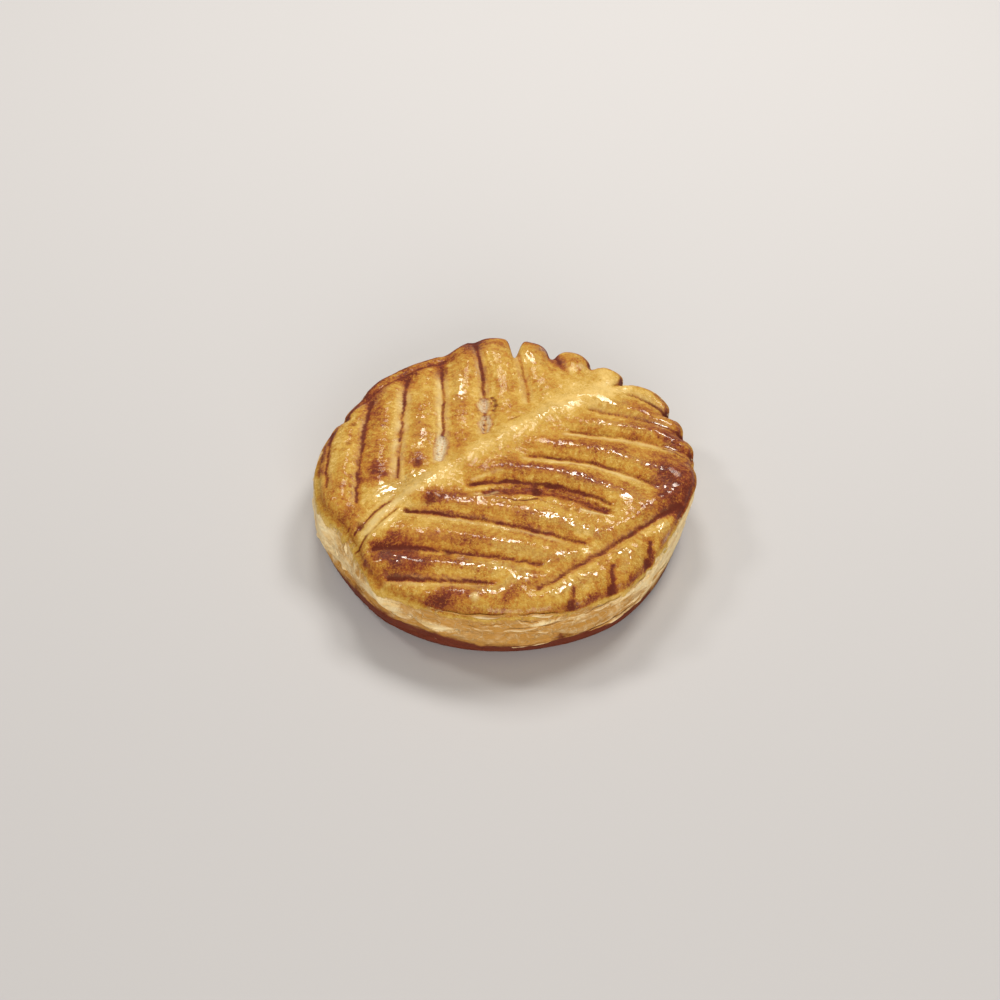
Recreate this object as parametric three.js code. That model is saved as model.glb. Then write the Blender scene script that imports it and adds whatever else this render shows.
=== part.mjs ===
// A small galette des rois: a round puff-pastry cake scored with a leaf, baked in one piece.
// Millimetres. +Z is up, the flat foot stands on z = 0, and the origin is under the middle of the cake.
// +X runs to the right of whoever faces the cake and +Y runs away from them.
// The surface is one closed skin: a leaf-scored top, a wall of puffed layers and a flat foot.
import * as THREE from "three";
import { ConvexHull } from "three/addons/math/ConvexHull.js";

// ---- Driving dimensions ----
const RIM_RADIUS = 63.5; // glazed top, out to its edge
const BASE_RADIUS = 60.5; // foot on the tray
const EDGE_HEIGHT = 22; // where the glaze ends and the layered wall begins
const EDGE_TILT = 1; // the edge stands this much higher at the back than half way
const CROWN_HEIGHT = 28; // middle of the top
const CROWN_FALL = 2; // how far the crown has sunk at the rim, before the shoulder
const SHOULDER = 10; // width of the rounded shoulder inside the edge
const LEFT_BULGE = 2.5; // how far the wall swells on the left
const FRONT_BULGE = 0.8; // and everywhere else
const LAYERS = 6; // puffed layers that show in the wall
const LAYER_DEPTH = 1.2; // how far a layer stands out between its creases
const LAYER_WANDER = 1.1; // how far a crease strays up and down
const SEAM_LEVEL = 3; // the crease where the upper sheet of pastry lies on the lower, counted from the edge
const SEAM_DEPTH = 0.9; // how much deeper that crease runs
const VALLEY_HALF = 4; // half width of the soft valley that each score sinks in
const NICK_HALF = 1.9; // half width of a nick in the rim
const NICK_REACH = 0.35; // share of the wall's height that a nick cuts down

// ---- Mesh fineness ----
const RING = 176; // points round the rim and the wall
const LAYER_ROWS = 3; // rows of points in each layer of the wall
const FURROW_STEP = 1.9; // from point to point along a score and along its banks
const BANK = 1.8; // from the bottom of a score to the top of either bank
const SHOULDER_RINGS = [0.8, 2.2, 4.0, 6.4, 9.4]; // rings of points this far inside the rim
const SHOULDER_STEP = 3; // from point to point on one of those rings
const FIELD_STEP = 3; // from point to point on the open top between the scores

// Each score is one stroke of the knife, from its outer end to its inner end:
// outer x, y; inner x, y; bow of its middle to the left; depth; half width at either end; nick in the rim.
const SCORES = [
  // the far side of the leaf, left to right
  [-60.5, 21, -61, -7, -0.7, 1.6, 0.9, 0.8, 0],
  [-47.6, 36, -50.5, -15.5, -0.9, 2.6, 1.5, 1.0, 0],
  [-35.4, 46.5, -37.1, -4.5, -0.2, 2.3, 1.1, 0.9, 0],
  [-23.2, 53.5, -22.3, 3.5, 0.7, 2.2, 1.0, 1.4, 0],
  [-11.5, 65.5, -7.5, 17.6, 1.4, 2.4, 1.3, 1.6, 0.4],
  [3.2, 62, 8.1, 33.8, 0.7, 2.3, 1.3, 0.9, 9.5],
  [16.8, 60.5, 22.2, 47.9, 0, 1.9, 1.3, 0.9, 3.2],
  [31.6, 55.5, 31, 50.5, 0, 1.5, 1.1, 0.9, 2.2],
  [43.5, 48.0, 36.6, 41.5, 0.6, 1.8, 1.0, 0.8, 2.4],
  // the near side, back to front
  [56.6, 30.4, 40.6, 40.2, -1.4, 2.9, 1.4, 0.8, 1.4],
  [60.9, 19.6, 29.6, 29.2, -1.2, 2.3, 1.1, 0.8, 0.6],
  [64.0, 9.4, 22.3, 17.4, -1.0, 2.4, 1.1, 0.9, 0.5],
  [51.5, -8.2, 8, 5, -2.8, 2.4, 1.1, 0.9, 0],
  [34.9, -17.5, -12.2, -9.3, -5.1, 2.8, 1.2, 1.1, 0],
  [26, -36, -33, -21.2, -1.8, 2.3, 1.0, 0.9, 0],
  [11.4, -44.5, -43.8, -36.1, -0.7, 3.1, 1.1, 1.3, 0],
  [-4.2, -52.9, -38.5, -48.2, 0.8, 3.4, 0.9, 1.2, 0],
  // the leaf's near margin, and the short cuts that flute the rim outside it
  [59.5, -14.5, 10.7, -54.7, 1.1, 2.8, 1.3, 1.1, 0],
  [21.3, -60.5, 22.3, -53.9, 0, 2.0, 1.2, 0.9, 0.8],
  [34.8, -52.5, 35, -43.8, 0, 2.6, 1.5, 1.2, 1.0],
  [47.4, -41.5, 47.9, -32.2, 0, 2.4, 1.4, 1.1, 1.0],
  // the crease inside the far rim, and the two lines along the stalk
  [-57, 27.5, -22, 57, 3.4, 1.4, 1.2, 1.0, 1.2],
  [-50.4, -27.9, -38.9, -16.6, 0.2, 1.3, 0.8, 0.7, 0],
  [-48.7, -33.3, -36.5, -19.7, -0.6, 1.5, 0.8, 0.7, 0],
];
const MIDRIB = { outer: [-45, -31], inner: [40, 41.5], bow: 5.8, rise: 1.1, half: 4.5 };

// Places where the pastry tore open beside a score and sank: outer x, y; inner x, y; bow; depth; half width.
const HOLLOWS = [
  [34.3, -21.5, -8.2, -13, -5.3, 1.7, 3.0],
  [-7.8, 36.5, -7.5, 28.5, 0, 1.0, 2.0],
  [-7.5, 26.5, -7.5, 18.5, 0, 1.0, 1.9],
  [-22.3, 15.5, -22.3, 4.5, 0, 0.9, 1.9],
];

// Where the rim leaves a circle, as the ends of the leaf's strips sprang out: angle, half width, out, up.
const TABS = [
  [96.5, 10.5, 4.9, 2.6],
  [82, 6.5, 2.6, 2.2],
  [68, 6.5, 3.2, 0.6],
  [54, 5.5, 2.2, 0],
  [37, 8.5, 4.4, -0.8],
  [23, 5.5, 1.8, 0],
  [11, 6, 2.0, 0],
  [-2, 4.5, 1.2, 0.8],
  [-25, 15, -2.6, 0],
  [126, 17, 2.5, 0],
  [168, 12, 1.1, 0],
  [-151, 12, -5.0, -0.6],
];

// How the foot leaves a circle: angle, half width, out.
const FOOT_SWELLS = [
  [180, 30, 2.2],
  [-26, 21, -2.2],
];

const radians = THREE.MathUtils.degToRad;
const bell = (x) => Math.exp(-x * x);
const hump = (x) => Math.exp(-(Math.abs(x) ** 3));
const plateau = (x) => Math.exp(-(x ** 4));
const smooth = THREE.MathUtils.smoothstep;
const lerp = THREE.MathUtils.lerp;

// The quadratic curve from outer to inner whose middle stands off its chord by bow.
function stroke(outer, inner, bow) {
  const a = new THREE.Vector2(...outer);
  const b = new THREE.Vector2(...inner);
  const along = b.clone().sub(a).normalize();
  const left = new THREE.Vector2(-along.y, along.x);
  const control = a.clone().add(b).multiplyScalar(0.5).addScaledVector(left, 2 * bow);
  const curve = new THREE.QuadraticBezierCurve(a, control, b);
  return { curve, points: curve.getPoints(24) };
}

// How far a place in plan is from a polyline, and how far along that is.
function nearest(points, x, y) {
  let best = { distance: Infinity, along: 0 };
  for (let i = 1; i < points.length; i++) {
    const p = points[i - 1];
    const dx = points[i].x - p.x;
    const dy = points[i].y - p.y;
    const share = THREE.MathUtils.clamp(((x - p.x) * dx + (y - p.y) * dy) / (dx * dx + dy * dy), 0, 1);
    const distance = Math.hypot(x - p.x - share * dx, y - p.y - share * dy);
    if (distance < best.distance) best = { distance, along: (i - 1 + share) / (points.length - 1) };
  }
  return best;
}

const scores = SCORES.map(([ox, oy, ix, iy, bow, depth, outerHalf, innerHalf, nick]) => ({
  ...stroke([ox, oy], [ix, iy], bow),
  depth,
  outerHalf,
  innerHalf,
  nick,
  angle: Math.atan2(oy, ox),
}));
const hollows = HOLLOWS.map(([ox, oy, ix, iy, bow, depth, half]) => ({
  ...stroke([ox, oy], [ix, iy], bow),
  depth,
  half,
}));
const midrib = stroke(MIDRIB.outer, MIDRIB.inner, MIDRIB.bow);

const turn = (a, b) => Math.atan2(Math.sin(a - b), Math.cos(a - b));

// Sum of what the rows of a table of swells add at this angle: column 2 is out, column 3 is up.
function swells(table, angle, column) {
  const shares = table.map((row) => hump(turn(angle, radians(row[0])) / radians(row[1])));
  return table.reduce((sum, row, i) => sum + row[column] * shares[i], 0);
}

// Depth of the rim's nicks at this angle.
function nicks(angle) {
  return scores.reduce((sum, s) => sum + s.nick * bell((RIM_RADIUS * turn(angle, s.angle)) / NICK_HALF), 0);
}

const openRim = (angle) => RIM_RADIUS + swells(TABS, angle, 2);
const rimRadius = (angle) => openRim(angle) - nicks(angle);
const edgeHeight = (angle) => EDGE_HEIGHT + EDGE_TILT * Math.sin(angle) + swells(TABS, angle, 3);

// The scored pattern: every stroke is a narrow groove in a soft valley, the midrib is a low swell,
// and the hollows have flat floors.
function relief(x, y) {
  let z = MIDRIB.rise * bell(nearest(midrib.points, x, y).distance / MIDRIB.half);
  for (const s of scores) {
    const { distance, along } = nearest(s.points, x, y);
    const half = lerp(s.outerHalf, s.innerHalf, along * along);
    z -= s.depth * (0.55 * bell(distance / half) + 0.45 * bell(distance / VALLEY_HALF));
  }
  for (const h of hollows) z -= h.depth * plateau(nearest(h.points, x, y).distance / h.half);
  return z;
}

// Height of the top at a place in plan: a low crown that rolls over a quarter-ellipse shoulder to the edge.
function topHeight(x, y) {
  const angle = Math.atan2(y, x);
  const radius = Math.hypot(x, y);
  const inside = THREE.MathUtils.clamp((rimRadius(angle) - radius) / SHOULDER, 0, 1);
  const edge = edgeHeight(angle);
  const sprung = swells(TABS, angle, 3) * smooth(radius, 35, 60);
  const crown = CROWN_HEIGHT - CROWN_FALL * (radius / RIM_RADIUS) ** 2 + sprung;
  return edge + (crown - edge) * Math.sqrt(1 - (1 - inside) ** 2) + relief(x, y);
}

// How far the wall stands out from a straight line between foot and edge, at a share of its height.
function bulge(angle, share) {
  const left = smooth(-Math.cos(angle), 0, 1);
  return lerp(FRONT_BULGE, LEFT_BULGE, left) * Math.sin(Math.PI * share);
}

// A point of the wall. level runs from 0 at the edge to LAYERS at the foot, with creases at whole numbers.
function wallPoint(angle, level) {
  const layer = Math.min(Math.floor(level), LAYERS - 1);
  const within = level - layer;
  const rim = rimRadius(angle);
  const top = topHeight(rim * Math.cos(angle), rim * Math.sin(angle));
  const held = Math.sin((Math.PI * level) / LAYERS); // the creases stray least at the edge and the foot
  const stray = Math.sin(3 * angle + 2.4 * level) + 0.6 * Math.sin(7 * angle - 1.7 * level);
  const z = top * (1 - level / LAYERS) + LAYER_WANDER * held * stray;
  const share = z / top;
  const foot = BASE_RADIUS + swells(FOOT_SWELLS, angle, 2);
  const straight = lerp(foot, openRim(angle), share) + bulge(angle, share);
  const swell = 0.8 + 0.55 * Math.sin(1.9 * layer + 0.7 + (2 + (layer % 3)) * angle);
  const standing = LAYER_DEPTH * swell * Math.sqrt(4 * within * (1 - within));
  const seam = SEAM_DEPTH * bell((level - SEAM_LEVEL) / 0.4);
  const radius = straight - nicks(angle) * smooth(share, 1 - NICK_REACH, 1) + standing - seam;
  return [radius * Math.cos(angle), radius * Math.sin(angle), z];
}

// Angles of the rim's points: even steps, with the nearest point to each nick moved to its bottom.
function rimAngles() {
  const step = (2 * Math.PI) / RING;
  const angles = Array.from({ length: RING }, (_, k) => k * step);
  for (const s of scores.filter((each) => each.nick > 0)) {
    const k = (Math.round(s.angle / step) + RING) % RING;
    angles[k] = s.angle;
  }
  return angles;
}

// Points of the top in plan: the rim, then the scores, their banks, the shoulder and the open top,
// each only where nothing before it is within its clearance.
function topPoints(angles) {
  const onRim = (angle, inset) => {
    const radius = rimRadius(angle) - inset;
    return [radius * Math.cos(angle), radius * Math.sin(angle)];
  };
  const points = angles.map((angle) => onRim(angle, 0));
  const keep = (x, y, clearance) => {
    const outside = Math.hypot(x, y) > rimRadius(Math.atan2(y, x)) - 0.6;
    if (!outside && points.every(([px, py]) => Math.hypot(px - x, py - y) > clearance)) points.push([x, y]);
  };
  const lines = [...scores, ...hollows, midrib].map((line) => line.curve);
  for (const [side, clearance] of [[0, 0.9], [-BANK, 1.3], [BANK, 1.3]])
    for (const curve of lines) {
      const steps = Math.ceil(curve.getLength() / FURROW_STEP);
      for (let k = 0; k <= steps; k++) {
        const p = curve.getPointAt(k / steps);
        const t = curve.getTangentAt(k / steps);
        keep(p.x - side * t.y, p.y + side * t.x, clearance);
      }
    }
  for (const inset of SHOULDER_RINGS) {
    const steps = Math.round((2 * Math.PI * (RIM_RADIUS - inset)) / SHOULDER_STEP);
    for (let k = 0; k < steps; k++) {
      keep(...onRim((2 * Math.PI * k) / steps, inset), Math.min(1.2 + 0.4 * inset, 2));
    }
  }
  const rows = Math.ceil(RIM_RADIUS / (FIELD_STEP * Math.sin(Math.PI / 3)));
  for (let j = -rows; j <= rows; j++)
    for (let i = -rows; i <= rows; i++)
      keep((i + (j & 1) / 2) * FIELD_STEP, j * FIELD_STEP * Math.sin(Math.PI / 3), 2);
  return points;
}

// Triangles between points in plan, as the underside of the hull of their images on a bowl.
// Plan radii are taken as shares of the rim's, so that the hull's border is the rim itself.
function triangles(points) {
  const lifted = points.map(([x, y]) => {
    const share = RIM_RADIUS / rimRadius(Math.atan2(y, x));
    return new THREE.Vector3(x * share, y * share, (x * x + y * y) * share * share);
  });
  const indexOf = new Map(lifted.map((p, i) => [p, i]));
  const under = new ConvexHull().setFromPoints(lifted).faces.filter((face) => face.normal.z < -1e-9);
  return under.map(({ edge }) => [edge.next, edge, edge.prev].map((e) => indexOf.get(e.head().point)));
}

function galetteGeometry() {
  const angles = rimAngles();
  const plan = topPoints(angles);
  const positions = plan.map(([x, y]) => [x, y, topHeight(x, y)]);
  const faces = triangles(plan);

  // Down the wall, with a row in each crease.
  for (let step = 1; step <= LAYER_ROWS * LAYERS; step++) {
    const above = step === 1 ? 0 : positions.length - RING;
    const row = positions.length;
    positions.push(...angles.map((angle) => wallPoint(angle, step / LAYER_ROWS)));
    for (let k = 0; k < RING; k++) {
      const next = (k + 1) % RING;
      faces.push([above + k, row + k, row + next], [above + k, row + next, above + next]);
    }
  }
  // The flat foot.
  const row = positions.length - RING;
  const middle = positions.push([0, 0, 0]) - 1;
  for (let k = 0; k < RING; k++) faces.push([row + k, middle, row + ((k + 1) % RING)]);

  const geometry = new THREE.BufferGeometry();
  geometry.setAttribute("position", new THREE.Float32BufferAttribute(positions.flat(), 3));
  geometry.setIndex(faces.flat());
  return geometry;
}

const crust = new THREE.MeshStandardMaterial({ color: 0xc8923c, roughness: 0.35, metalness: 0 });
const pastry = new THREE.Mesh(galetteGeometry(), crust);
pastry.name = "galette";
pastry.geometry.computeVertexNormals();
pastry.geometry.computeBoundingBox();

// The cake stands over the middle of its own outline.
const middleOfPlan = pastry.geometry.boundingBox.getCenter(new THREE.Vector3());
pastry.position.set(-middleOfPlan.x, -middleOfPlan.y, 0);

const galette = new THREE.Group();
galette.name = "galette_des_rois";
galette.add(pastry);

export default galette;
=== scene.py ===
"""Looks of a small galette des rois: its crust, the loose flakes down its side, and a plain stage."""

import math

import bpy
import numpy as np
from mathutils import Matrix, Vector


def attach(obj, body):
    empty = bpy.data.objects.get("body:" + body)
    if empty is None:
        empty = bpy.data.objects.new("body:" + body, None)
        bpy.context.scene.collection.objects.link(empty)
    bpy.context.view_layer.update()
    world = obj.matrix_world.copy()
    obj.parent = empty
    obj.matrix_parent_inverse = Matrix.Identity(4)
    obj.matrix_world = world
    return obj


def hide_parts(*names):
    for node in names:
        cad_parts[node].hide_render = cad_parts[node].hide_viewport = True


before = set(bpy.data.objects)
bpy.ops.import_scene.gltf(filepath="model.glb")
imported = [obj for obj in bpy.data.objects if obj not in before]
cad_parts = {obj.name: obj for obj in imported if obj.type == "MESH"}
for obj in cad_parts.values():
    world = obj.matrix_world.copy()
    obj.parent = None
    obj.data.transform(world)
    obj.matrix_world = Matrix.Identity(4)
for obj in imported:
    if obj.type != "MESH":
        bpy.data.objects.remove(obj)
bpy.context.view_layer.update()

bl_info = {
    "name": "Galette des rois",
    "version": (1, 0, 0),
    "blender": (4, 5, 0),
    "location": "View3D > Sidebar > Galette",
    "description": "A puff-pastry cake scored with a leaf, with its flakes and a plain stage",
    "category": "Add Mesh",
}

MM = 0.001
FOOT_CENTRE = (0.268, -2.322)  # where the middle of the drawing below lands in the part's frame, in mm
FAR = 99  # farther off than anything on the cake, in mm

# ---- The leaf, in mm: every row is one stroke of the knife, from its outer end to its inner end ----
# outer x, y, inner x, y, bow to the left, depth, half width outside and inside, nick in the rim, darkness of
# its outer and of its inner end, pale band to its left and to its right, how far to its right the next crest
# is, and how high
SCORES = np.array([
    # the far side of the leaf, left to right
    [-60.5, 21, -61, -7, -0.7, 1.6, 0.9, 0.8, 0, 0.85, 0.8, 0.2, 0.1, 0, 0],
    [-47.6, 36, -50.5, -15.5, -0.9, 2.6, 1.5, 1, 0, 1, 0.9, 0, 0.4, 0, 0],
    [-35.4, 46.5, -37.1, -4.5, -0.2, 2.3, 1.1, 0.9, 0, 0.85, 0.95, 0.5, 0.75, 0, 0],
    [-23.2, 53.5, -22.3, 3.5, 0.7, 2.2, 1, 1.4, 0, 0.75, 0.6, 0.45, 0.9, 0, 0],
    [-11.5, 65.5, -7.5, 17.6, 1.4, 2.4, 1.3, 1.6, 0.4, 1, 0.55, 0.3, 0.5, 0, 0],
    [3.2, 62, 8.1, 33.8, 0.7, 2.3, 1.3, 0.9, 9.5, 0.5, 0.35, 0.2, 0.6, 0, 0],
    [16.8, 60.5, 22.2, 47.9, 0, 1.9, 1.3, 0.9, 3.2, 0.9, 0.3, 0.2, 0.1, 0, 0],
    [31.6, 55.5, 31, 50.5, 0, 1.5, 1.1, 0.9, 2.2, 0.4, 0.2, 0.2, 0.2, 0, 0],
    [43.5, 48, 36.6, 41.5, 0.6, 1.8, 1, 0.8, 2.4, 1, 0.3, 0.2, 0.5, 0, 0],
    # the near side, back to front
    [56.6, 30.4, 40.6, 40.2, -1.4, 2.9, 1.4, 0.8, 1.4, 0.9, 0.4, 0.2, 0.4, 2.5, 0.3],
    [60.9, 19.6, 29.6, 29.2, -1.2, 2.3, 1.1, 0.8, 0.6, 0.6, 0.55, 0.2, 0.3, 3.5, 0.6],
    [64, 9.4, 22.3, 17.4, -1, 2.4, 1.1, 0.9, 0.5, 0.6, 0.5, 0.75, 0, 4.5, 0.8],
    [51.5, -8.2, 8, 5, -2.8, 2.4, 1.1, 0.9, 0, 0.6, 0.65, 0.75, 0, 5.5, 0.9],
    [34.9, -17.5, -12.2, -9.3, -5.1, 2.8, 1.2, 1.1, 0, 0.75, 1, 0, 0, 5.5, 0.8],
    [26, -36, -33, -21.2, -1.8, 2.3, 0.9, 0.7, 0, 0.6, 0.9, 0.5, 0.1, 6, 0.7],
    [11.4, -44.5, -43.8, -36.1, -0.7, 3.1, 1, 1, 0, 0.8, 1, 0.1, 0, 5.5, 0.6],
    [-4.2, -52.9, -38.5, -48.2, 0.8, 3.4, 0.7, 0.8, 0, 0.85, 1, 0.35, 0.2, 6, 0.5],
    # the leaf's near margin, and the short cuts that flute the rim outside it
    [59.5, -14.5, 10.7, -54.7, 1.1, 2.8, 1.3, 1.1, 0, 1, 0.8, 0.1, 0.2, 4, 0.5],
    [21.3, -60.5, 22.3, -53.9, 0, 2, 1.2, 0.9, 0.8, 0.9, 0.9, 0.1, 0.1, 0, 0],
    [34.8, -52.5, 35, -43.8, 0, 2.6, 1.5, 1.2, 1, 1, 1, 0, 0, 0, 0],
    [47.4, -41.5, 47.9, -32.2, 0, 2.4, 1.4, 1.1, 1, 1, 1, 0, 0, 0, 0],
    # the crease inside the far rim, and the two lines along the stalk
    [-57, 27.5, -22, 57, 3.4, 1.4, 1.2, 1, 1.2, 0.6, 0.6, 0, 0, 0, 0],
    [-50.4, -27.9, -38.9, -16.6, 0.2, 1.3, 0.8, 0.7, 0, 0.8, 0.7, 0.3, 0.3, 0, 0],
    [-48.7, -33.3, -36.5, -19.7, -0.6, 1.5, 0.8, 0.7, 0, 0.8, 0.7, 0.3, 0.3, 0, 0],
])
MIDRIB = (-45, -31, 40, 41.5, 5.8)  # outer x, y, inner x, y, bow

# Places where the pastry tore open and sank: outer x, y, inner x, y, bow, depth, half width, how bare, how
# much of the bareness is only a ring round it
HOLLOWS = np.array([
    [33.5, -21, -6.2, -13.2, -5, 1.5, 2.9, 0, 0],
    [-7.6, 33.6, -8, 29.2, 0, 0.7, 1.9, 0.8, 0.45],
    [-7.3, 24.8, -7.2, 18.6, 0, 0.8, 1.9, 1, 0.9],
    [-22.2, 14.5, -23, 3.8, 0.2, 0.7, 1.75, 0.9, 0.25],
])
# Thin cracks (and, below zero, thin pale threads): outer x, y, inner x, y, bow, half width, how dark
CRACKS = np.array([
    [10.5, -17, -1, -16.8, 0.7, 0.35, 0.9],
    [24.5, -21.2, 12, -17.5, 0.4, 0.3, 0.5],
    [9.8, -14.5, 10, -7.8, 0, 1, 1],
    [1, 21.5, 4.8, 23.8, 0.2, 0.35, 0.6],
    [-1.5, -3.2, -11.5, -7, -0.3, 0.45, -0.45],
    [-3, -12, -10.5, -14.6, 0.5, 0.6, -0.6],
    [-2, -14.2, -9, -16, 0.3, 0.5, -0.5],
    [34.5, -23.6, 25, -21.6, 0.5, 0.6, -0.9],
    [60.5, 12.5, 53, 15, -0.3, 0.3, 0.7],
    [61.5, 7, 54, 10.5, -0.3, 0.3, 0.7],
    [62, 4, 56, 7.5, -0.3, 0.25, 0.6],
    [9.8, -53, 9.2, -47.5, 0, 0.8, 0.4],
    [-46, -29, -30, -12, 1.6, 1.5, -0.7],
    # round the small hollows
    [-5, 34.8, -4.3, 28.2, 1, 0.75, 0.85],
    [-4.1, 27.4, -4.4, 20.6, 0.3, 0.6, 0.45],
    [-10.5, 30, -9.5, 26.2, 0, 0.55, 0.5],
    [-8.9, 35, -6.4, 35.2, -0.6, 0.5, 0.55],
    [-8.6, 31.4, -6.2, 30.8, 0, 0.4, 0.35],
])
# Where the glaze lies thick and wet: from x, y, to x, y, bow, half width, how wet
SHEENS = np.array([
    [-40.5, -12.8, -28.5, -6.6, 0.5, 4.2, 1],
    [12, 23.8, 15, 29.5, 0, 2, 0.6],
    [17, 28.2, 22.6, 30.6, 0, 2, 0.6],
    [42, 32.8, 31.5, 32.4, 0.5, 2.1, 0.8],
    [50, 16.6, 33, 21.6, -0.5, 1.6, 0.7],
    [54.8, 22.4, 53.8, 23.8, 0, 1.9, 1],
    [57.6, 11.2, 56.6, 12.6, 0, 1.9, 1],
    [52.5, -2.1, 31.3, 7.5, -0.6, 1.6, 0.9],
    [41.1, -14.5, 19.4, -4.6, -0.8, 1.8, 1],
    [54.9, -8.9, 50.6, -5.7, 0, 3, 0.7],
    [48.3, -19.3, 42.5, -12.5, 0, 1.8, 0.8],
    [30.1, -32.6, 8.3, -23.8, -0.8, 2.2, 1],
    [14.4, -42.6, -3.6, -36.8, -0.8, 2.2, 1],
    [22.6, -42, 14.4, -42.8, 0, 1.9, 0.8],
    [-10.1, -47.2, -15.1, -41.9, 0, 2, 1],
    [-3.6, -48.2, -7.5, -44.8, 0, 2, 1],
    [6.2, -48.2, -5, -44.6, 0, 1.5, 1],
    [-0.3, -54.5, 6.2, -50.3, 0.4, 1.8, 1],
    [-8.4, -55.6, -0.3, -54.5, 0, 1.8, 1],
    [52.6, -29.5, 52.7, -25.3, 0, 2.4, 1],
    [40.7, -39.9, 37.4, -38.6, 0, 2, 1],
    [38.8, -46.3, 39, -40.1, 0, 1.2, 1],
    [28.6, -50, 24.6, -51.6, 0, 2, 1],
    [15.2, -57.3, 22.3, -52, 0, 1.4, 1],
    [11, 59.8, 13.6, 61, 0, 1.5, 0.9],
    [-13, 61.5, -2, 59.5, 0, 3.1, 0.4],
    [7, 56.5, 12.3, 54, 0, 2.8, 0.4],
    [-17.6, 47.5, -16.6, 33.2, 0, 2.2, 0.6],
    [-30.5, 24, -30, 12, 0, 2.2, 0.4],
    [-39.7, -39.9, -35.3, -43, 0, 2.9, 0.8],
    [-49, -26.8, -48, -25.2, 0, 1.8, 0.8],
    [-52, 33.5, -43, 42, -2, 1.9, 0.5],
    [-34, -20.8, -24, -17.4, 0, 1.5, 0.6],
    [-20, -16, 4, -17.8, 0, 2, 0.4],
])
# Where the rim leaves a circle, as the ends of the leaf's strips sprang out: angle, half width, out, up
TABS = np.array([
    [96.5, 10.5, 4.9, 2.6],
    [82, 6.5, 2.6, 2.2],
    [68, 6.5, 3.2, 0.6],
    [54, 5.5, 2.2, 0],
    [37, 8.5, 4.4, -0.8],
    [23, 5.5, 1.8, 0],
    [11, 6, 2, 0],
    [-2, 4.5, 1.2, 0.8],
    [-25, 15, -2.6, 0],
    [126, 17, 2.5, 0],
    [168, 12, 1.1, 0],
    [-151, 12, -5, -0.6],
])
# Smooth sheets that lie over the wall: angle, height, half width, half height, tilt in degrees, how far they
# stand out
FLAPS = np.array([
    [-126.5, 17.5, 9, 3.6, -24, 1.3],
    [-110, 14.3, 9.5, 2.6, -14, 1.2],
    [-99.5, 21, 14, 0.9, 3, 0.9],
    [-79, 20.8, 8, 0.9, -8, 0.7],
    [-99, 11, 8, 1.7, 2, 0.8],
    [-79.5, 17.4, 6, 1.5, 8, 0.7],
    [-141, 17.5, 3.2, 2.2, 20, 0.9],
    [-160, 14.5, 8, 3.5, -35, 0.8],
    [172, 13, 9, 4, -20, 0.7],
    [150, 12, 10, 3, 8, 0.7],
    [122, 14, 9, 3.4, -10, 0.8],
    [95, 11.5, 11, 2.6, 6, 0.7],
    [66, 13, 8, 3, -12, 0.7],
    [35, 10.5, 10, 2.8, 7, 0.7],
    [8, 13.5, 9, 3, -9, 0.7],
    [-25, 12, 9, 2.2, 14, 0.5],
    [-48, 13, 11, 2.4, 6, 0.5],
    [-63, 8.5, 8, 1.8, -5, 0.5],
])
# Loose leaves that curl off the wall: angle, height, half length, width, tilt in degrees, how far they curl
# out
PEELS = np.array([
    [-101, 21.6, 13, 1.1, 3, 0.9],
    [-79.5, 21.4, 8, 0.9, -6, 0.7],
    [-83.5, 18.6, 4, 0.8, -14, 0.7],
    [-77, 18.2, 5, 0.8, 16, 0.8],
    [-119, 15, 7, 1, -22, 0.8],
    [-131, 15.6, 7, 1.1, -26, 0.9],
    [-147, 17, 7, 1.1, -22, 0.9],
    [-152, 12.5, 8, 1.2, -30, 0.9],
    [-163, 16, 9, 1.2, -30, 0.8],
    [-172, 11.5, 8, 1.1, -34, 0.8],
    [-99, 10.6, 9, 0.9, 2, 0.6],
    [-60, 17.5, 7, 0.8, 6, 0.5],
    [-47, 13, 9, 0.8, 6, 0.5],
    [-38, 17, 6, 0.7, 4, 0.5],
    [-56, 6.5, 9, 1, 3, 0.6],
])
# Where the foot leaves a circle: angle, half width, out
FOOT_SWELLS = np.array([[180, 30, 2.2], [-26, 21, -2.2]])

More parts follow.
